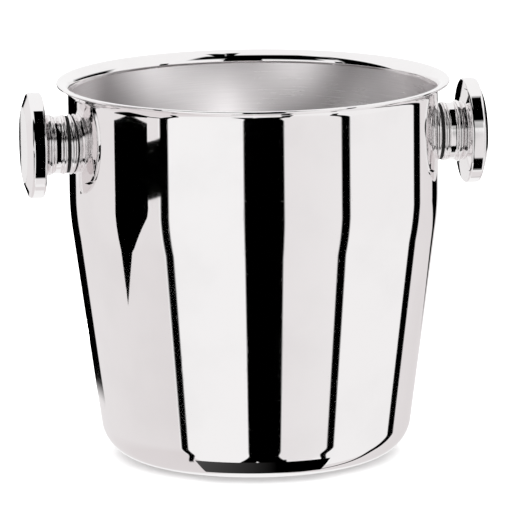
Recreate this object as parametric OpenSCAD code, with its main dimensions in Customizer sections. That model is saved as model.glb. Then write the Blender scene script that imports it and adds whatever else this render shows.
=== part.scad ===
// Footless champagne bucket with a flared lip and two turned knob handles.
// Units are millimetres. The origin is the centre of the resting face, Z is up,
// and the knobs lie on the X axis (left knob at -X, right knob at +X).

/* [Bucket body] */
// outside radius of the straight upper wall
wall_r = 100; // [91:1:130]
// overall height, resting face to the top of the lip
body_h = 205; // [198:1:260]
// sheet thickness of the drawn body
wall_t = 1.4; // [0.8:0.1:2.5]
// height where the straight wall turns into the tapered lower wall
kink_z = 135; // [90:1:140]
// slope of the lower wall from the vertical, degrees
taper_deg = 7.6; // [3:0.1:12]
// radius of the soft bend between the two walls
kink_r = 150; // [60:5:200]
// outside radius of the bottom corner
corner_r = 20.5; // [12:0.5:30]

/* [Lip] */
// how far the lip stands out beyond the wall
lip_reach = 6.2; // [5.3:0.1:12]
// radius under the flare, between wall and lip
lip_fillet_r = 4.8; // [3:0.1:5.7]
// small rounding of the lip edge
lip_edge = 0.4; // [0.2:0.1:0.6]

/* [Bottom] */
// how far the middle of the bottom is pushed up
recess_h = 1.6; // [0.5:0.1:4]
// radius where the pushed-up middle starts
recess_r = 54; // [30:1:58]
// width of the sloping step around the pushed-up middle
recess_step = 3.5; // [2:0.5:8]

/* [Knobs] */
// height of the knob axis above the resting face
knob_z = 173; // [155:1:180]
// radius of the knob head
head_r = 28.5; // [24:0.1:30]
// how far the knob's outer face stands off the wall
knob_reach = 25.3; // [24.5:0.1:40]
// radius of the flat outer face of the head
face_r = 20.9; // [12:0.1:24]
// depth of the sloping band around the outer face
bevel_w = 2.8; // [1:0.1:4]
// width of the cylindrical band of the head
band_w = 7.2; // [4:0.1:8]
// rounding between the band and the sloping front
front_round = 1.6; // [0.4:0.1:2]
// rounding between the band and the sloping back
back_round = 1.2; // [0.4:0.1:1.6]
// radius of the collar bead beside the head
collar_r = 16.7; // [14:0.1:20]
// radius of the base ring that sits on the wall
base_ring_r = 16.3; // [14:0.1:20]
// thickness of the base ring at the knob axis
base_ring_t = 1.2; // [0.6:0.1:1.6]
// radius of the bead at the foot of the neck
foot_bead_r = 16.2; // [14:0.1:19]
// radius of the neck at the two ends of its waist
neck_r = 15.9; // [12:0.1:18]
// how much slimmer the neck is at its waist
neck_waist = 0.4; // [0.2:0.1:1.3]
// rounding on each side of the waist
neck_round = 1.5; // [1:0.1:1.8]

/* [Fixings] */
// radius of the threaded stud
stud_r = 1.9; // [1.5:0.1:3]
// radius of the rubber gasket between base ring and neck
gasket_r = 15.4; // [12:0.1:16]
// thickness of that gasket
gasket_t = 1.3; // [0.6:0.1:1.6]
// radius of the sealing washer inside the wall
seal_r = 8.5; // [7:0.5:14]
// radius of the steel washer under the nut
washer_r = 8; // [7:0.5:12]
// width across the flats of the dome nut
nut_af = 7; // [6.5:0.5:10]

/* [Hidden] */
$fn = 120;

// body profile
lip_outer_r = wall_r + lip_reach;
lip_z = body_h - wall_t - lip_fillet_r;
kink_arc_z = kink_z + kink_r * tan(taper_deg / 2);
corner_x = wall_r - (kink_z - corner_r * (1 - sin(taper_deg))) * tan(taper_deg)
    - corner_r * cos(taper_deg);

// stations along the knob axis, measured from the bucket axis
ring_w = 3;
foot_bead_w = 2.7;
waist_w = 4.8;
collar_w = 3;
s_ring = wall_r + base_ring_t;
s_foot = s_ring + gasket_t;
s_waist = s_foot + foot_bead_w;
s_neck = s_waist + waist_w;
s_head = s_neck + collar_w;
s_face = wall_r + knob_reach;
s_band = s_face - bevel_w;
s_back = s_band - band_w;
hole_r = stud_r + 0.05;
wall_hole_r = stud_r + 0.08;
thread_depth = 6;

// stations of the fixings inside the wall
inner_r = wall_r - wall_t;
seal_t = 1.8;
washer_t = 1.2;
s_seal = inner_r - seal_t;
s_washer = s_seal - washer_t;
nut_h = 3.2;
dome_r = nut_af / 2 - 0.25;
nut_bore = 5.4;
s_stud_in = s_washer - nut_bore;
s_stud_out = s_head + thread_depth;

steel = [0.86, 0.86, 0.87];
satin_steel = [0.74, 0.74, 0.75];
black_rubber = [0.06, 0.06, 0.06];
clear_rubber = [0.80, 0.80, 0.78];

function arc(cx, cy, r, from, to, steps) =
    [for (i = [0:steps])
        let (a = from + (to - from) * i / steps)
        [cx + r * cos(a), cy + r * sin(a)]];

// one face of the sheet, d in from the outside, centre of the bottom to the lip
function sheet_face(d) = concat(
    [[0, recess_h + d], [recess_r - recess_step, recess_h + d], [recess_r, d]],
    arc(corner_x, corner_r, corner_r - d, -90, -taper_deg, 10),
    arc(wall_r - kink_r, kink_arc_z, kink_r - d, -taper_deg, 0, 5),
    arc(wall_r + lip_fillet_r, lip_z, lip_fillet_r + d, 180, 90, 6));

function reversed(list) = [for (i = [len(list) - 1:-1:0]) list[i]];

// stands a shape made along +Z on the knob axis, side +1 right, -1 left
module on_knob_axis(side) {
    translate([0, 0, knob_z])
        rotate([0, 90 * side, 0])
            children();
}

// half round between stations s0 and s1 with its crest at radius r
function half_round(r, s0, s1, steps) =
    arc(r - (s1 - s0) / 2, (s0 + s1) / 2, (s1 - s0) / 2, -90, 90, steps);

module bucket_shell() {
    color(steel)
        difference() {
            rotate_extrude()
                polygon(concat(
                    sheet_face(0),
                    [[lip_outer_r - lip_edge, body_h - wall_t],
                        [lip_outer_r, body_h - wall_t + lip_edge],
                        [lip_outer_r, body_h - lip_edge],
                        [lip_outer_r - lip_edge, body_h]],
                    reversed(sheet_face(wall_t))));
            for (side = [-1, 1])
                on_knob_axis(side)
                    translate([0, 0, wall_r - 8])
                        cylinder(h = 12, r = wall_hole_r);
        }
}

// thick round head: sloped back, cylindrical band, sloped front, flat face
module knob_head(side) {
    back_r = collar_r + 1.6;
    back_s = s_head + 0.7;
    front_turn = atan2(head_r - face_r, bevel_w);
    back_turn = atan2(head_r - back_r, s_back - back_s);
    color(steel)
        on_knob_axis(side)
            rotate_extrude()
                polygon(concat(
                    [[0, s_stud_out], [stud_r, s_stud_out], [stud_r, s_head],
                        [collar_r - 1.2, s_head], [back_r, back_s]],
                    arc(head_r - back_round, s_back + back_round * tan(back_turn / 2),
                        back_round, -back_turn, 0, 5),
                    arc(head_r - front_round, s_band - front_round * tan(front_turn / 2),
                        front_round, 0, front_turn, 5),
                    [[face_r + 0.3, s_face - 0.12], [face_r - 0.4, s_face],
                        [0, s_face]]));
}

module collar_bead(side) {
    color(steel)
        on_knob_axis(side)
            rotate_extrude()
                polygon(concat([[hole_r, s_head], [hole_r, s_neck]],
                    half_round(collar_r, s_neck, s_head, 8)));
}

// neck: a bead at its foot, then a hollow waist, which is a straight middle
// between two round coves
module waisted_neck(side) {
    turn = acos(1 - neck_waist / neck_round);
    land = 0.25;
    half = waist_w / 2 - land - neck_round * sin(turn);
    middle = (s_waist + s_neck) / 2;
    cove_r = neck_r - neck_waist + neck_round;
    color(steel)
        on_knob_axis(side)
            rotate_extrude()
                polygon(concat(
                    [[hole_r, s_neck], [hole_r, s_foot]],
                    half_round(foot_bead_r, s_foot, s_waist, 8),
                    [[neck_r, s_waist + 0.05]],
                    arc(cove_r, middle - half, neck_round, 180 + turn, 180, 5),
                    arc(cove_r, middle + half, neck_round, 180, 180 - turn, 5),
                    [[neck_r, s_neck]]));
}

// round-edged ring, hollowed to sit on the round wall
module base_ring(side) {
    color(steel)
        difference() {
            on_knob_axis(side)
                rotate_extrude()
                    polygon(concat([[hole_r, s_ring], [hole_r, s_ring - ring_w]],
                        half_round(base_ring_r, s_ring - ring_w, s_ring, 8)));
            translate([0, 0, knob_z - 2 * base_ring_r])
                cylinder(h = 4 * base_ring_r, r = wall_r, $fn = 720);
        }
}

// flat rubber ring between the base ring and the neck
module outer_gasket(side) {
    color(black_rubber)
        on_knob_axis(side)
            translate([0, 0, s_ring])
                difference() {
                    cylinder(h = gasket_t, r = gasket_r);
                    translate([0, 0, -1])
                        cylinder(h = gasket_t + 2, r = hole_r);
                }
}

module stud(side) {
    color(satin_steel)
        on_knob_axis(side)
            translate([0, 0, s_stud_in])
                cylinder(h = s_stud_out - s_stud_in, r = stud_r);
}

// sealing washer, flat toward the nut and round toward the wall
module sealing_washer(side) {
    color(clear_rubber)
        intersection() {
            on_knob_axis(side)
                translate([0, 0, s_seal])
                    difference() {
                        cylinder(h = seal_t + 2, r = seal_r);
                        translate([0, 0, -1])
                            cylinder(h = seal_t + 4, r = hole_r);
                    }
            translate([0, 0, knob_z - 2 * seal_r])
                cylinder(h = 4 * seal_r, r = inner_r, $fn = 720);
        }
}

module steel_washer(side) {
    color(satin_steel)
        on_knob_axis(side)
            translate([0, 0, s_washer])
                difference() {
                    cylinder(h = washer_t, r = washer_r);
                    translate([0, 0, -1])
                        cylinder(h = washer_t + 2, r = hole_r);
                }
}

// closed hexagon nut with a dome toward the bucket axis
module dome_nut(side) {
    color(steel)
        on_knob_axis(side)
            translate([0, 0, s_washer])
                mirror([0, 0, 1])
                    difference() {
                        union() {
                            cylinder(h = nut_h, r = nut_af / 2 / cos(30), $fn = 6);
                            rotate_extrude()
                                polygon(concat([[0, 0.5], [dome_r, 0.5]],
                                    arc(0, nut_h + 0.8, dome_r, 0, 90, 7)));
                        }
                        translate([0, 0, -1])
                            cylinder(h = nut_bore + 1, r = stud_r);
                    }
}

bucket_shell();
knob_head(-1);  // left_knob_head
knob_head(1);  // right_knob_head
collar_bead(-1);  // left_collar_bead
collar_bead(1);  // right_collar_bead
waisted_neck(-1);  // left_waisted_neck
waisted_neck(1);  // right_waisted_neck
base_ring(-1);  // left_base_ring
base_ring(1);  // right_base_ring
outer_gasket(-1);  // left_outer_gasket
outer_gasket(1);  // right_outer_gasket
stud(-1);  // left_stud
stud(1);  // right_stud
sealing_washer(-1);  // left_sealing_washer
sealing_washer(1);  // right_sealing_washer
steel_washer(-1);  // left_steel_washer
steel_washer(1);  // right_steel_washer
dome_nut(-1);  // left_dome_nut
dome_nut(1);  // right_dome_nut
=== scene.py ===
import math

import bmesh
import bpy
from mathutils import Matrix, Vector


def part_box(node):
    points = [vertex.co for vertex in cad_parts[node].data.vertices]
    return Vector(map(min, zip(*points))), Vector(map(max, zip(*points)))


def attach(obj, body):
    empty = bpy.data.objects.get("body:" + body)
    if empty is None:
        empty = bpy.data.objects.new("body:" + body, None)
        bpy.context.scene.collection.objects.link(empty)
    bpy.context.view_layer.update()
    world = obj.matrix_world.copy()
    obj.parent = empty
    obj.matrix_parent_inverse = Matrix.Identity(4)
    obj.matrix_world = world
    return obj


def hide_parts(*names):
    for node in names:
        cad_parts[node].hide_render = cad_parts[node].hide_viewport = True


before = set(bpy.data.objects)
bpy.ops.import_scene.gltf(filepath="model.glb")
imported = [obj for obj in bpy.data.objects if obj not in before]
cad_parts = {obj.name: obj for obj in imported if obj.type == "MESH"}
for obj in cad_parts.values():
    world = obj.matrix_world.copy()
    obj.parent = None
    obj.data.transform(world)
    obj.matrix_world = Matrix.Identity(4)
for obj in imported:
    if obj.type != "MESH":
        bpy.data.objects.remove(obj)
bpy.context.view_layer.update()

MM = 0.001
SHELL_SEGMENTS = 320
KNOB_SEGMENTS = 192
scene = bpy.context.scene

# ---------------------------------------------------------------- sizes, mm
# The overall sizes come from the CAD boxes. The rest repeats the design's rule
# for the sheet: one wall thickness, one soft bend, one bottom corner.
shell_lo, shell_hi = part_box("bucket_shell")
BODY_H = shell_hi.z / MM
LIP_R = shell_hi.x / MM
WALL_R = 100.0
WALL_T = 1.4
KINK_Z = 135.0
KINK_R = 150.0
TAPER = math.radians(7.6)
CORNER_R = 20.5
FLARE_R = 4.8
LIP_EDGE = 0.55
RECESS_H = 1.6
RECESS_R = 54.0
RECESS_STEP = 3.5
RECESS_ROUND = 3.0
SATIN_STARTS_BELOW_LIP = 0.6

head_lo, head_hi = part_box("right_knob_head")
HEAD_R = (head_hi.z - head_lo.z) / 2 / MM
KNOB_Z = (head_hi.z + head_lo.z) / 2 / MM
HEAD_IN = head_lo.x / MM
HEAD_OUT = head_hi.x / MM


# ------------------------------------------------------------ profile tools
def fillet(before, corner, after, radius, steps):
    """Points of the arc that rounds a corner between two straight stretches."""
    a = (before - corner).normalized()
    b = (after - corner).normalized()
    half = a.angle(b) / 2
    cut = radius / math.tan(half)
    room = min((before - corner).length, (after - corner).length) * 0.98
    cut = min(cut, room)
    radius = cut * math.tan(half)
    centre = corner + (a + b).normalized() * (radius / math.sin(half))
    start = corner + a * cut - centre
    end = corner + b * cut - centre
    turn = math.atan2(start.cross(end), start.dot(end))
    points = []
    for i in range(steps + 1):
        t = turn * i / steps
        c, s = math.cos(t), math.sin(t)
        points.append(centre + Vector((c * start.x - s * start.y, s * start.x + c * start.y)))
    return points


def outline(corners, support=0.5):
    """A polyline through corners (r, h, radius, steps), with a support point
    beside each arc so that the straight stretches keep a clean shading."""
    flat = [Vector(c[:2]) for c in corners]
    runs = [[flat[0]]]
    for i in range(1, len(corners) - 1):
        radius, steps = (corners[i] + (0, 0))[2:4]
        if radius:
            runs.append(fillet(flat[i - 1], flat[i], flat[i + 1], radius, steps))
        else:
            runs.append([flat[i]])
    runs.append([flat[-1]])
    points = list(runs[0])
    for run in runs[1:]:
        gap = run[0] - points[-1]
        if gap.length > 3 * support:
            way = gap.normalized() * support
            points += [points[-1] + way, run[0] - way]
        points += run
    kept = [points[0]]
    for p in points[1:]:
        if (p - kept[-1]).length > 1e-4:
            kept.append(p)
    return kept


def lathe(name, profile, segments, place=None, marks=None):
    """Turns a profile of (r, h) points in mm round the Z axis and returns the
    object. place maps the turned shape into the row frame. marks gives a
    material index for each stretch of the profile."""
    bm = bmesh.new()
    rings = []
    for r, h in profile:
        if r < 1e-6:
            rings.append([bm.verts.new((0, 0, h * MM))])
            continue
        ring = []
        for k in range(segments):
            a = 2 * math.pi * k / segments
            ring.append(bm.verts.new((r * MM * math.cos(a), r * MM * math.sin(a), h * MM)))
        rings.append(ring)
    for j in range(len(rings) - 1):
        low, high = rings[j], rings[j + 1]
        for k in range(segments):
            n = (k + 1) % segments
            if len(low) == 1:
                face = [low[0], high[n], high[k]]
            elif len(high) == 1:
                face = [low[k], low[n], high[0]]
            else:
                face = [low[k], low[n], high[n], high[k]]
            f = bm.faces.new(face)
            f.smooth = True
            f.material_index = marks[j] if marks else 0
    bmesh.ops.recalc_face_normals(bm, faces=bm.faces)
    mesh = bpy.data.meshes.new(name)
    bm.to_mesh(mesh)
    bm.free()
    obj = bpy.data.objects.new(name, mesh)
    scene.collection.objects.link(obj)
    if place is not None:
        mesh.transform(place)
    return obj


def closed(profile):
    """Closes a ring profile that doesn't reach the axis."""
    return profile + [profile[0]]


def knob_place(side):
    """Stands +Z of a turned shape on the knob axis, outward at that side."""
    turn = Matrix.Rotation(side * math.pi / 2, 4, "Y")
    return Matrix.Translation((0, 0, KNOB_Z * MM)) @ turn


# ------------------------------------------------------------ material tools
class Nodes:
    """Small helper to write node trees as expressions."""

    def __init__(self, tree):
        self.tree = tree

    def add(self, kind, **settings):
        node = self.tree.nodes.new(kind)
        for key, value in settings.items():
            setattr(node, key, value)
        return node

    def put(self, socket, value):
        if isinstance(value, bpy.types.NodeSocket):
            self.tree.links.new(value, socket)
        else:
            socket.default_value = value

    def math(self, op, a, b=0.0, c=0.0, clamp=False):
        node = self.add("ShaderNodeMath", operation=op, use_clamp=clamp)
        for socket, value in zip(node.inputs, (a, b, c)):
            self.put(socket, value)
        return node.outputs[0]

    def remap(self, value, lo, hi, to_lo=0.0, to_hi=1.0, smooth=False):
        kind = "SMOOTHSTEP" if smooth else "LINEAR"
        node = self.add("ShaderNodeMapRange", interpolation_type=kind, clamp=True)
        for key, v in zip(("Value", "From Min", "From Max", "To Min", "To Max"),
                          (value, lo, hi, to_lo, to_hi)):
            self.put(node.inputs[key], v)
        return node.outputs[0]

    def noise(self, vector, scale, detail=2.0, rough=0.5):
        node = self.add("ShaderNodeTexNoise")
        self.put(node.inputs["Vector"], vector)
        self.put(node.inputs["Scale"], scale)
        self.put(node.inputs["Detail"], detail)
        self.put(node.inputs["Roughness"], rough)
        return node.outputs[0]

    def mapping(self, vector, scale, rotation=(0, 0, 0)):
        node = self.add("ShaderNodeMapping")
        self.put(node.inputs["Vector"], vector)
        node.inputs["Scale"].default_value = scale
        node.inputs["Rotation"].default_value = rotation
        return node.outputs[0]

    def mix(self, factor, a, b):
        node = self.add("ShaderNodeMix", data_type="RGBA")
        self.put(node.inputs[0], factor)
        self.put(node.inputs[6], a)
        self.put(node.inputs[7], b)
        return node.outputs[2]


def material(name):
    mat = bpy.data.materials.new(name)
    mat.use_nodes = True
    tree = mat.node_tree
    shader = tree.nodes["Principled BSDF"]
    nodes = Nodes(tree)
    position = nodes.add("ShaderNodeTexCoord").outputs["Object"]
    return mat, nodes, shader, position


def turned_coordinates(n, position):
    """(angle, radius, height) of a point, for marks that run round the body."""
    split = n.add("ShaderNodeSeparateXYZ")
    n.put(split.inputs[0], position)
    x, y, z = split.outputs
    angle = n.math("ARCTAN2", y, x)
    radius = n.math("SQRT", n.math("ADD", n.math("MULTIPLY", x, x), n.math("MULTIPLY", y, y)))
    return angle, radius, z


def scratches(n, position, scale, rotation, threshold):
    """Sparse hairlines: stretched noise, cut so that only its crests stay."""
    stretched = n.mapping(position, scale, rotation)
    value = n.noise(stretched, 1.0, 3.0, 0.6)
    return n.remap(value, threshold, threshold + 0.09, smooth=True)


def mirror_steel(name, tint, rough_lo, rough_hi, bump=0.05):
    mat, n, shader, pos = material(name)
    smudge = n.noise(pos, 22.0, 4.0, 0.55)
    haze = n.remap(smudge, 0.42, 0.72, smooth=True)
    fine = n.noise(pos, 900.0, 2.0)
    lines_a = scratches(n, pos, (60.0, 900.0, 2600.0), (0.2, 0.4, 0.3), 0.66)
    lines_b = scratches(n, pos, (2400.0, 700.0, 50.0), (0.5, -0.3, 1.1), 0.67)
    lines = n.math("MAXIMUM", lines_a, lines_b)
    rough = n.remap(haze, 0.0, 1.0, rough_lo, rough_hi)
    rough = n.math("ADD", rough, n.math("MULTIPLY", lines, 0.035))
    rough = n.math("ADD", rough, n.math("MULTIPLY", fine, 0.008))
    n.put(shader.inputs["Roughness"], rough)
    dull = tuple(c * 0.965 for c in tint[:3]) + (1.0,)
    n.put(shader.inputs["Base Color"], n.mix(haze, tint, dull))
    shader.inputs["Metallic"].default_value = 1.0
    bumps = n.add("ShaderNodeBump")
    bumps.inputs["Strength"].default_value = bump
    bumps.inputs["Distance"].default_value = 0.00002
    n.put(bumps.inputs["Height"], n.math("ADD", lines, n.math("MULTIPLY", fine, 0.2)))
    n.put(shader.inputs["Normal"], bumps.outputs[0])
    return mat


def satin_steel(name, tint, rough, grain=0.1, metal=1.0):
    mat, n, shader, pos = material(name)
    angle, radius, z = turned_coordinates(n, pos)
    joined = n.add("ShaderNodeCombineXYZ")
    n.put(joined.inputs[0], n.math("MULTIPLY", angle, 3.0))
    n.put(joined.inputs[1], n.math("MULTIPLY", radius, 1400.0))
    n.put(joined.inputs[2], n.math("MULTIPLY", z, 1400.0))
    brushed = n.noise(joined.outputs[0], 1.0, 4.0, 0.65)
    grit = n.noise(pos, 1800.0, 2.0)
    cloud = n.noise(pos, 16.0, 3.0)
    value = n.remap(cloud, 0.3, 0.7, rough - 0.04, rough + 0.05)
    value = n.math("ADD", value, n.remap(brushed, 0.3, 0.7, -0.03, 0.03))
    n.put(shader.inputs["Roughness"], value)
    dull = tuple(c * 0.93 for c in tint[:3]) + (1.0,)
    n.put(shader.inputs["Base Color"], n.mix(n.remap(brushed, 0.35, 0.65), tint, dull))
    shader.inputs["Metallic"].default_value = metal
    height = n.math("ADD", n.math("MULTIPLY", brushed, 0.7), n.math("MULTIPLY", grit, 0.5))
    bumps = n.add("ShaderNodeBump")
    bumps.inputs["Strength"].default_value = grain
    bumps.inputs["Distance"].default_value = 0.00004
    n.put(bumps.inputs["Height"], height)
    n.put(shader.inputs["Normal"], bumps.outputs[0])
    return mat


def rubber(name, tint, rough):
    mat, n, shader, pos = material(name)
    grain = n.noise(pos, 1500.0, 3.0, 0.6)
    cloud = n.noise(pos, 120.0, 3.0)
    n.put(shader.inputs["Roughness"], n.remap(cloud, 0.3, 0.7, rough - 0.08, rough + 0.08))
    shader.inputs["Specular IOR Level"].default_value = 0.12
    light = tuple(min(1.0, c * 1.5 + 0.01) for c in tint[:3]) + (1.0,)
    n.put(shader.inputs["Base Color"], n.mix(n.remap(cloud, 0.4, 0.75), tint, light))
    bumps = n.add("ShaderNodeBump")
    bumps.inputs["Strength"].default_value = 0.25
    bumps.inputs["Distance"].default_value = 0.00005
    n.put(bumps.inputs["Height"], grain)
    n.put(shader.inputs["Normal"], bumps.outputs[0])
    return mat


POLISHED_TINT = (0.925, 0.910, 0.912, 1.0)
SATIN_TINT = (0.70, 0.68, 0.685, 1.0)
FIXING_TINT = (0.66, 0.66, 0.67, 1.0)
BLACK_TINT = (0.008, 0.008, 0.008, 1.0)
SILICONE_TINT = (0.62, 0.62, 0.60, 1.0)
mirror = mirror_steel("mirror_steel", POLISHED_TINT, 0.022, 0.040)
knob_mirror = mirror_steel("knob_mirror_steel", POLISHED_TINT, 0.026, 0.046)
satin = satin_steel("satin_inside", SATIN_TINT, 0.30, 0.1, 0.965)
fixing = satin_steel("fixing_steel", FIXING_TINT, 0.28, 0.2)
black_rubber = rubber("black_rubber", BLACK_TINT, 0.5)
clear_rubber = rubber("pale_silicone", SILICONE_TINT, 0.45)


def finish_piece(obj, mats, slot, *cad_nodes):
    for m in mats:
        obj.data.materials.append(m)
    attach(obj, "root")
    if cad_nodes:
        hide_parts(*cad_nodes)
    return obj


# ------------------------------------------------------------- bucket shell
slope = math.tan(TAPER)
lip_face_r = LIP_R - LIP_EDGE * 1.6
foot_r = WALL_R - KINK_Z * slope
outer = outline([
    (0, RECESS_H),
    (RECESS_R - RECESS_STEP, RECESS_H, RECESS_ROUND, 8),
    (RECESS_R, 0, RECESS_ROUND, 8),
    (foot_r, 0, CORNER_R, 40),
    (WALL_R, KINK_Z, KINK_R, 24),
    (WALL_R, BODY_H - WALL_T, FLARE_R, 28),
    (LIP_R, BODY_H - WALL_T, LIP_EDGE, 8),
    (LIP_R, BODY_H, LIP_EDGE, 8),
    (lip_face_r, BODY_H),
])
inner_r = WALL_R - WALL_T
inner_kink = KINK_Z + WALL_T * math.tan(TAPER / 2)
inner_foot = inner_r - (inner_kink - WALL_T) * slope
inner = outline([
    (lip_face_r, BODY_H),
    (inner_r, BODY_H, FLARE_R + WALL_T, 28),
    (inner_r, inner_kink, KINK_R - WALL_T, 24),
    (inner_foot, WALL_T, CORNER_R - WALL_T, 32),
    (RECESS_R, WALL_T, RECESS_ROUND, 8),
    (RECESS_R - RECESS_STEP, RECESS_H + WALL_T, RECESS_ROUND, 8),
    (0, RECESS_H + WALL_T),
])
polished_down_to = BODY_H - WALL_T - FLARE_R - SATIN_STARTS_BELOW_LIP
shell_profile = outer + inner[1:]
shell_marks = []
for i in range(len(shell_profile) - 1):
    mid_h = (shell_profile[i].y + shell_profile[i + 1].y) / 2
    inside = i >= len(outer) - 1
    shell_marks.append(1 if inside and mid_h < polished_down_to else 0)
shell = lathe("bucket_body", shell_profile, SHELL_SEGMENTS, marks=shell_marks)
finish_piece(shell, [mirror, satin], "bucket_steel", "bucket_shell")


# -------------------------------------------------------------------- knobs
def station(node, low=True):
    """Distance of a right-hand CAD node's near or far face from the axis."""
    lo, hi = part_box(node)
    return (lo.x if low else hi.x) / MM


def node_radius(node):
    lo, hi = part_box(node)
    return (hi.z - lo.z) / 2 / MM


FACE_R = 20.9
BEVEL_W = 2.8
BACK_R_STEP = 1.6
BACK_H_STEP = 0.7
BAND_W = 7.2
BORE_R = 1.95
RING_W = 3.0
RING_SINK = 0.25
FOOT_W = 2.7
FOOT_R = 16.2
NECK_R = 15.9
WAIST = 0.4
WAIST_ROUND = 1.5
WAIST_LAND = 0.25
collar_lo, collar_hi = station("right_collar_bead"), station("right_collar_bead", False)
neck_lo, neck_hi = station("right_waisted_neck"), station("right_waisted_neck", False)
ring_hi = station("right_base_ring", False)
waist_lo = neck_lo + FOOT_W
COLLAR_R = node_radius("right_collar_bead")
RING_R = node_radius("right_base_ring")

head_profile = outline([
    (0, HEAD_IN),
    (COLLAR_R - 1.2, HEAD_IN, 0.3, 4),
    (COLLAR_R + BACK_R_STEP, HEAD_IN + BACK_H_STEP, 2.2, 8),
    (HEAD_R, HEAD_OUT - BEVEL_W - BAND_W, 1.2, 14),
    (HEAD_R, HEAD_OUT - BEVEL_W, 1.6, 14),
    (FACE_R, HEAD_OUT, 0.9, 10),
    (0, HEAD_OUT),
], 0.3)


def round_points(r, h, radius, start, end, steps=16):
    """Arc about (r, h) between two turns in degrees."""
    turns = [math.radians(start + (end - start) * i / steps) for i in range(steps + 1)]
    return [Vector((r + radius * math.cos(t), h + radius * math.sin(t))) for t in turns]


def half_round(crest, low, high, steps=24):
    half = (high - low) / 2
    return round_points(crest - half, low + half, half, -90, 90, steps)


def bored(low, high, outside):
    """Closes an outside line into a ring profile with a bore."""
    return closed([Vector((BORE_R, high)), Vector((BORE_R, low))] + outside)


def seat_on_wall(obj, side):
    """Hollows the wall end of a ring so that it follows the round wall."""
    reach = (WALL_R - RING_SINK) * MM
    for v in obj.data.vertices:
        wall = math.sqrt(reach * reach - v.co.y * v.co.y)
        if side * v.co.x < wall:
            v.co.x = side * wall


collar_profile = bored(collar_lo, collar_hi, half_round(COLLAR_R, collar_lo, collar_hi))
ring_profile = bored(ring_hi - RING_W, ring_hi, half_round(RING_R, ring_hi - RING_W, ring_hi))
# foot bead, then a hollow waist: a straight middle between two round coves
cove_turn = math.degrees(math.acos(1 - WAIST / WAIST_ROUND))
cove_half = ((neck_hi - waist_lo) / 2 - WAIST_LAND
             - WAIST_ROUND * math.sin(math.radians(cove_turn)))
neck_mid = (waist_lo + neck_hi) / 2
cove_r = NECK_R - WAIST + WAIST_ROUND
neck_profile = bored(
    neck_lo, neck_hi,
    half_round(FOOT_R, neck_lo, waist_lo)
    + [Vector((NECK_R, waist_lo + 0.05))]
    + round_points(cove_r, neck_mid - cove_half, WAIST_ROUND, 180 + cove_turn, 180, 12)
    + [Vector((NECK_R - WAIST, neck_mid - cove_half + 0.2)),
       Vector((NECK_R - WAIST, neck_mid + cove_half - 0.2))]
    + round_points(cove_r, neck_mid + cove_half, WAIST_ROUND, 180, 180 - cove_turn, 12)
    + [Vector((NECK_R, neck_hi))])

TURNED = {
    "head": ("knob_head", head_profile),
    "collar": ("collar_bead", collar_profile),
    "neck": ("waisted_neck", neck_profile),
    "ring": ("base_ring", ring_profile),
}
for side, word in ((-1, "left"), (1, "right")):
    place = knob_place(side)
    for part, (node, profile) in TURNED.items():
        piece = lathe(f"{word}_{part}", profile, KNOB_SEGMENTS, place)
        if part == "ring":
            seat_on_wall(piece, side)
        finish_piece(piece, [knob_mirror], "knob_steel", f"{word}_{node}")

# CAD pieces that are shown as they are, with their looks
LOOKS = {
    "outer_gasket": (black_rubber, "gasket_rubber"),
    "stud": (fixing, "fixing_steel"),
    "sealing_washer": (clear_rubber, "washer_rubber"),
    "steel_washer": (fixing, "fixing_steel"),
    "dome_nut": (knob_mirror, "nut_steel"),
}
for word in ("left", "right"):
    for part, (mat, slot) in LOOKS.items():
        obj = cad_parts[f"{word}_{part}"]
        obj.data.materials.clear()
        obj.data.materials.append(mat)

# -------------------------------------------------------------------- stage
CAM_AZ = math.radians(-8.5)
CAM_EL = math.radians(11.2)
CAM_DIST = 3.0
CAM_ROLL = math.radians(-0.56)
LENS = 389.6
SENSOR = 36.0
SHIFT = (0.0005, 0.0206)
FLOOR_SIZE = 40
FLOOR_TONES = ((0.93, 0.93, 0.93, 1), (0.95, 0.95, 0.95, 1))
ROOM_LIGHT = 2.1

bpy.ops.mesh.primitive_plane_add(size=FLOOR_SIZE)
floor = bpy.context.object
floor.name = "floor"
floor_mat, n, shader, pos = material("pale_floor")
tone = n.noise(pos, 3.0, 2.0)
n.put(shader.inputs["Base Color"], n.mix(tone, *FLOOR_TONES))
shader.inputs["Roughness"].default_value = 0.9
shader.inputs["Specular IOR Level"].default_value = 0.1
floor.data.materials.append(floor_mat)
floor.visible_glossy = False

# A light tent far away: pale panels parted by black gaps. A direction is told
# by its bearing from the camera's own (deg), its height (elev), both in
# degrees, and its part along +X (dx).
world = bpy.data.worlds.new("studio")
scene.world = world
world.use_nodes = True
world.cycles.sampling_method = "NONE"
tree = world.node_tree
tree.nodes.clear()
w = Nodes(tree)
direction = w.add("ShaderNodeTexCoord").outputs["Generated"]
split = w.add("ShaderNodeSeparateXYZ")
w.put(split.inputs[0], direction)
dx, dy, dz = split.outputs
bearing = w.math("ARCTAN2", dx, w.math("MULTIPLY", dy, -1.0))
bearing = w.math("SUBTRACT", bearing, CAM_AZ)
turn = w.math("FRACT", w.math("ADD", w.math("DIVIDE", bearing, 2 * math.pi), 0.5))
deg = w.math("SUBTRACT", w.math("MULTIPLY", turn, 360.0), 180.0)
elev = w.math("MULTIPLY", w.math("ARCSINE", dz), 180.0 / math.pi)
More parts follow.
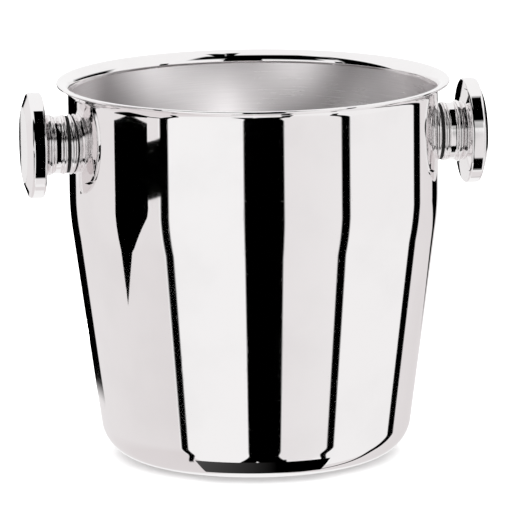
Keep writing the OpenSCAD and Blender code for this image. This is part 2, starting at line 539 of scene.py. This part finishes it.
# steeply down, the gaps draw apart
STEEP_FROM, STEEP_SCALE, STEEP_POWER = -38.0, 16.0, 1.9
depth = w.math("MAXIMUM", w.math("SUBTRACT", STEEP_FROM, elev), 0.0)
steep = w.math("POWER", w.math("DIVIDE", depth, STEEP_SCALE), STEEP_POWER)
far = w.math("SUBTRACT", w.math("ABSOLUTE", deg), w.math("MULTIPLY", steep, 5.0))
far = w.math("DIVIDE", far, w.math("ADD", w.math("MULTIPLY", steep, 0.15), 1.0))
drawn = w.math("MULTIPLY", far, w.math("SIGN", deg))


def above(value, edge, soft=0.5):
    """0 below an edge, 1 above it."""
    rise = w.math("DIVIDE", w.math("SUBTRACT", value, edge), 2 * soft)
    return w.math("ADD", rise, 0.5, clamp=True)


def below(value, edge, soft=0.5):
    return w.math("SUBTRACT", 1.0, above(value, edge, soft))


def both(*values):
    out = values[0]
    for v in values[1:]:
        out = w.math("MINIMUM", out, v)
    return out


def either(*values):
    out = values[0]
    for v in values[1:]:
        out = w.math("MAXIMUM", out, v)
    return out


def span(value, low, high, soft=0.5):
    return both(above(value, low, soft), below(value, high, soft))


# extents of the gaps: (from, to) in degrees, or as a part along +X
FRONT_GAP, FRONT_HEIGHTS = (-6.2, 18.8), (-66, 30)
FRONT_FOOT, FRONT_FOOT_HEIGHTS = (0.15, 0.215), (-80, -54)
HIGH_GAP, HIGH_GAP_HEIGHTS = (0.07, 0.145), (25, 86)
HIGH_SIDE, HIGH_SIDE_HEIGHTS = (0.145, 0.25), (38, 79)
LEFT_LINE, RIGHT_LINE, LINE_HEIGHTS = (-60.0, -54.3), (56.0, 62.0), (-59, 14)
OUTER_LINE, OUTER_LINE_HEIGHTS = (118.3, 126.7), (-60, 4)
EDGE_LOW, EDGE_HIGH = -13.9, -2
EDGE_SLANT = (-11.0, 156.5, 147.8)
RIGHT_EDGE_END, BEHIND_FROM, BEHIND_HEIGHTS = 163, 160, (-9, -2)
LEFT_EDGE_FROM, LEFT_EDGE_LOW = -147, -14.5
LEFT_EDGE_PIVOT, LEFT_EDGE_SLOPE = 163.0, 0.135

camera_side = below(dy, 0.0, 0.01)
front_gap = either(
    both(span(drawn, *FRONT_GAP), span(elev, *FRONT_HEIGHTS, 2)),
    both(span(dx, *FRONT_FOOT, 0.004), span(elev, *FRONT_FOOT_HEIGHTS, 2), camera_side),
    both(span(dx, *HIGH_GAP, 0.01), span(elev, *HIGH_GAP_HEIGHTS, 1), camera_side),
    both(span(dx, *HIGH_SIDE, 0.01), above(elev, HIGH_SIDE_HEIGHTS[0], 3),
         below(elev, HIGH_SIDE_HEIGHTS[1], 1), camera_side))
lines = either(
    both(span(drawn, *LEFT_LINE), span(elev, *LINE_HEIGHTS, 2)),
    both(span(drawn, *RIGHT_LINE), span(elev, *LINE_HEIGHTS, 2)),
    both(span(drawn, *OUTER_LINE), span(elev, *OUTER_LINE_HEIGHTS, 2)))
# what the wall's two outlines show
right_edge = both(above(deg, w.remap(elev, EDGE_LOW, *EDGE_SLANT)), below(deg, RIGHT_EDGE_END),
                  above(elev, EDGE_LOW, 0.1), below(elev, EDGE_HIGH))
slanted = w.math("MULTIPLY", w.math("ADD", deg, LEFT_EDGE_PIVOT), LEFT_EDGE_SLOPE)
left_edge = both(below(deg, LEFT_EDGE_FROM), below(elev, EDGE_HIGH),
                 above(w.math("ADD", elev, slanted), LEFT_EDGE_LOW, 0.1))
behind = both(above(deg, BEHIND_FROM), span(elev, *BEHIND_HEIGHTS))
# above the panels in front, and beside them
over_panels = either(
    both(span(deg, -46, 19.5, 3), span(elev, 16, 62, 4)),
    both(span(deg, 15, 43, 3), span(elev, 27, 58, 4)),
    both(span(deg, -62, -40, 3), above(elev, 28, 4),
         below(elev, w.remap(deg, -62, -44, 50, 62), 4)))
beside_panels = either(
    both(span(deg, -100, -60, 2), above(elev, -2, 1),
         below(elev, w.remap(deg, -100, -68, 3, 52), 3)),
    both(span(deg, 104, 152, 4), above(elev, 1, 2),
         below(elev, w.remap(deg, 104, 152, 19, 8), 3)))
black = either(front_gap, lines, right_edge, left_edge, behind, over_panels, beside_panels)


def painted(base, value, where):
    """base, with value in its place where the mask is 1."""
    change = w.math("MULTIPLY", w.math("SUBTRACT", value, base), where)
    return w.math("ADD", base, change)


# how pale the panels between the gaps are, from left to right
pale = w.remap(elev, -28.0, -10.0, 0.96, 1.0)
pale = painted(pale, w.remap(elev, -36.0, -18.0, 0.22, 0.50), below(deg, -61))
pale = painted(pale, w.remap(deg, 19.0, 57.0, 0.54, 0.68), above(deg, 19))
pale = painted(pale, w.remap(elev, -20.0, -10.0, 0.90, 0.82), above(deg, 59))
pale = painted(pale, w.remap(deg, 126.0, 149.0, 0.42, 0.30), above(deg, 122.5))
pale = painted(pale, 1.0, above(w.math("ABSOLUTE", deg), 168, 3))
pale = painted(pale, 1.0, above(elev, 4, 4))
DULL_PANEL = (0.70, 0.655, 0.66, 1.0)
PALE_PANEL = (0.968, 0.967, 0.967, 1.0)
GAP_BLACK = (0.0, 0.0, 0.0, 1.0)
tinted = w.mix(black, w.mix(pale, DULL_PANEL, PALE_PANEL), GAP_BLACK)
path = w.add("ShaderNodeLightPath")
glossy = w.add("ShaderNodeBackground")
w.put(glossy.inputs["Color"], tinted)
w.put(glossy.inputs["Strength"], 1.0)
plain = w.add("ShaderNodeBackground")
w.put(plain.inputs["Color"], (1.0, 1.0, 1.0, 1.0))
w.put(plain.inputs["Strength"], ROOM_LIGHT)
chooser = w.add("ShaderNodeMixShader")
w.put(chooser.inputs[0], w.math("MAXIMUM", path.outputs["Is Camera Ray"],
                                path.outputs["Is Diffuse Ray"]))
w.put(chooser.inputs[1], glossy.outputs[0])
w.put(chooser.inputs[2], plain.outputs[0])
surface = w.add("ShaderNodeOutputWorld")
w.put(surface.inputs[0], chooser.outputs[0])


# Cards near the object. Only mirror reflections see them.
def card_material(name, strength_nodes):
    mat = bpy.data.materials.new(name)
    mat.use_nodes = True
    tree = mat.node_tree
    tree.nodes.clear()
    k = Nodes(tree)
    glow = k.add("ShaderNodeEmission")
    glow.inputs["Color"].default_value = (1.0, 0.985, 0.985, 1.0)
    k.put(glow.inputs["Strength"], strength_nodes(k))
    out = k.add("ShaderNodeOutputMaterial")
    k.put(out.inputs[0], glow.outputs[0])
    return mat


def card(name, corners, mat, faces=None):
    mesh = bpy.data.meshes.new(name)
    mesh.from_pydata([Vector(c) for c in corners], [], faces or [tuple(range(len(corners)))])
    obj = bpy.data.objects.new(name, mesh)
    scene.collection.objects.link(obj)
    mesh.materials.append(mat)
    obj.visible_camera = False
    obj.visible_diffuse = False
    obj.visible_shadow = False
    obj.visible_transmission = False
    obj.visible_volume_scatter = False
    return obj


def painted_foot_shade(k):
    """Painted shade of the floor at the bucket's foot, as mirror reflections see it: nearly
    black, a little lighter toward the left.
    """
    split = k.add("ShaderNodeSeparateXYZ")
    k.put(split.inputs[0], k.add("ShaderNodeTexCoord").outputs["Object"])
    return k.remap(split.outputs[0], -0.06, 0.0, 0.085, 0.0)


WHITE_CARD_GLOW = 0.85
black_card = card_material("black_card", lambda k: 0.0)
# painted shade at the bucket's foot, seen only in mirror reflections
painted_shade_card = card_material("painted_shade_card", painted_foot_shade)
white_card = card_material("white_card", lambda k: WHITE_CARD_GLOW)

# A dark pennant hung upright on the left: a slightly crested top, a tail that
# narrows to a point at its left side, and an arm to the right.
PENNANT_DIST = 0.33
PENNANT_BEARING = math.radians(-78.0)
PENNANT_LEFT, PENNANT_RIGHT, PENNANT_TOP, CREST = -30, 110, 151, 6
SHOULDER_H, TAIL_BEND, TAIL_TIP_H = 100, (35, 30), -10
ARM_END, ARM_LOW, ARM_HIGH = 177, 106, 140
pennant_az = PENNANT_BEARING + CAM_AZ
pennant_out = Vector((math.sin(pennant_az), -math.cos(pennant_az), 0)) * PENNANT_DIST
pennant_side = Vector((math.cos(pennant_az), math.sin(pennant_az), 0))
pennant = [
    (PENNANT_LEFT, TAIL_TIP_H), TAIL_BEND, (PENNANT_RIGHT, SHOULDER_H),
    (PENNANT_RIGHT, ARM_LOW), (ARM_END, ARM_LOW), (ARM_END, ARM_HIGH), (PENNANT_RIGHT, ARM_HIGH),
    (PENNANT_RIGHT, PENNANT_TOP), ((PENNANT_LEFT + PENNANT_RIGHT) / 2, PENNANT_TOP + CREST),
    (PENNANT_LEFT, PENNANT_TOP),
]
card("pennant", [pennant_out + pennant_side * (a * MM) + Vector((0, 0, h * MM))
                 for a, h in pennant], black_card)

# part of a ring of painted shade on the floor, in front of the bucket's foot: it stands in for
# the foot's contact shadow, which mirror reflections show as a dark band
DARK_IN, DARK_OUT, DARK_STEPS = 0.075, 0.0885, 48
DARK_H, DARK_TAPER = 0.0003, 6.0
DARK_FROM, DARK_TO = math.radians(-27.0), math.radians(33.0)
ring_points, ring_faces = [], []
for i in range(DARK_STEPS + 1):
    a = DARK_FROM + (DARK_TO - DARK_FROM) * i / DARK_STEPS + CAM_AZ
    full = min(1.0, (1.0 - abs(2.0 * i / DARK_STEPS - 1.0)) * DARK_TAPER)
    for r in (DARK_OUT - (DARK_OUT - DARK_IN) * full, DARK_OUT):
        ring_points.append((r * math.sin(a), -r * math.cos(a), DARK_H))
    if i:
        ring_faces.append((2 * i - 2, 2 * i - 1, 2 * i + 1, 2 * i))
card("painted_shade_ring", ring_points, painted_shade_card, ring_faces)


def upright(name, x_lo, x_hi, y, z_lo, z_hi, mat):
    card(name, [(x_lo, y, z_lo), (x_hi, y, z_lo), (x_hi, y, z_hi), (x_lo, y, z_hi)], mat)


def level(name, x_lo, x_hi, y_lo, y_hi, z, mat):
    card(name, [(x_lo, y_lo, z), (x_hi, y_lo, z), (x_hi, y_hi, z), (x_lo, y_hi, z)], mat)


# white cards behind the knob heads, and a dark one at the left
upright("left_white", -0.165, -0.1279, 0.036, 0.145, 0.190, white_card)
upright("left_dark", -0.131, -0.1228, 0.017, 0.141, 0.1495, black_card)
upright("right_white", -0.05, 0.105, 0.16, 0.02, 0.135, white_card)
upright("right_white_top", -0.05, 0.075, 0.16, 0.172, 0.21, white_card)
# small dark cards above and below each neck
NECK_CARD_IN, NECK_CARD_OUT = 0.1065, 0.1145
OVER_H, UNDER_H = 0.197, 0.1535
for side, word in ((-1, "left"), (1, "right")):
    near, out = sorted((side * NECK_CARD_IN, side * NECK_CARD_OUT))
    level(f"{word}_over", near, out, -0.045, -0.005, OVER_H, black_card)
    level(f"{word}_under", near, out, -0.0225, -0.0165, UNDER_H, black_card)

# soft spots on the satin inside: aim (across, height), half width in degrees, power
LAMP_BACK, LAMP_H, LAMP_SIZE = 0.22, 0.47, 0.02
inside_r = inner_r * MM
view_right = Vector((math.cos(CAM_AZ), math.sin(CAM_AZ), 0))
view_in = Vector((-math.sin(CAM_AZ), math.cos(CAM_AZ), 0))
SPOTS = (
    (-0.056, 0.199, 3.0, 420.0),
    (-0.016, 0.168, 3.2, 480.0),
    (0.024, 0.203, 2.6, 440.0),
    (0.062, 0.174, 2.4, 250.0),
)
for i, (across, height, wide, power) in enumerate(SPOTS):
    lamp = bpy.data.lights.new(f"inside_spot_{i}", "SPOT")
    lamp.energy = power
    lamp.spot_size = math.radians(wide * 2)
    lamp.spot_blend = 1.0
    lamp.shadow_soft_size = LAMP_SIZE
    holder = bpy.data.objects.new(f"inside_spot_{i}", lamp)
    scene.collection.objects.link(holder)
    depth_in = math.sqrt(inside_r ** 2 - across ** 2)
    aim = view_right * across + view_in * depth_in + Vector((0, 0, height))
    start = view_right * (across * 0.5) - view_in * LAMP_BACK + Vector((0, 0, LAMP_H))
    holder.location = start
    holder.rotation_mode = "QUATERNION"
    holder.rotation_quaternion = (aim - start).to_track_quat("-Z", "Y")
    holder.visible_glossy = False

# ------------------------------------------------------------------- camera
target = Vector((0, 0, BODY_H * MM / 2))
back = Vector((math.sin(CAM_AZ) * math.cos(CAM_EL), -math.cos(CAM_AZ) * math.cos(CAM_EL),
               math.sin(CAM_EL)))
up = back.cross(view_right)
right_r = view_right * math.cos(CAM_ROLL) + up * math.sin(CAM_ROLL)
up_r = up * math.cos(CAM_ROLL) - view_right * math.sin(CAM_ROLL)
cam_data = bpy.data.cameras.new("camera")
cam = bpy.data.objects.new("camera", cam_data)
scene.collection.objects.link(cam)
cam.matrix_world = Matrix((
    (right_r.x, up_r.x, back.x, target.x + back.x * CAM_DIST),
    (right_r.y, up_r.y, back.y, target.y + back.y * CAM_DIST),
    (right_r.z, up_r.z, back.z, target.z + back.z * CAM_DIST),
    (0, 0, 0, 1)))
cam_data.sensor_width = SENSOR
cam_data.lens = LENS
cam_data.shift_x, cam_data.shift_y = SHIFT
cam_data.clip_start = 0.1
cam_data.clip_end = 100.0
scene.camera = cam

scene.view_settings.view_transform = "Standard"
scene.view_settings.look = "None"
scene.cycles.max_bounces = 24
scene.cycles.glossy_bounces = 24
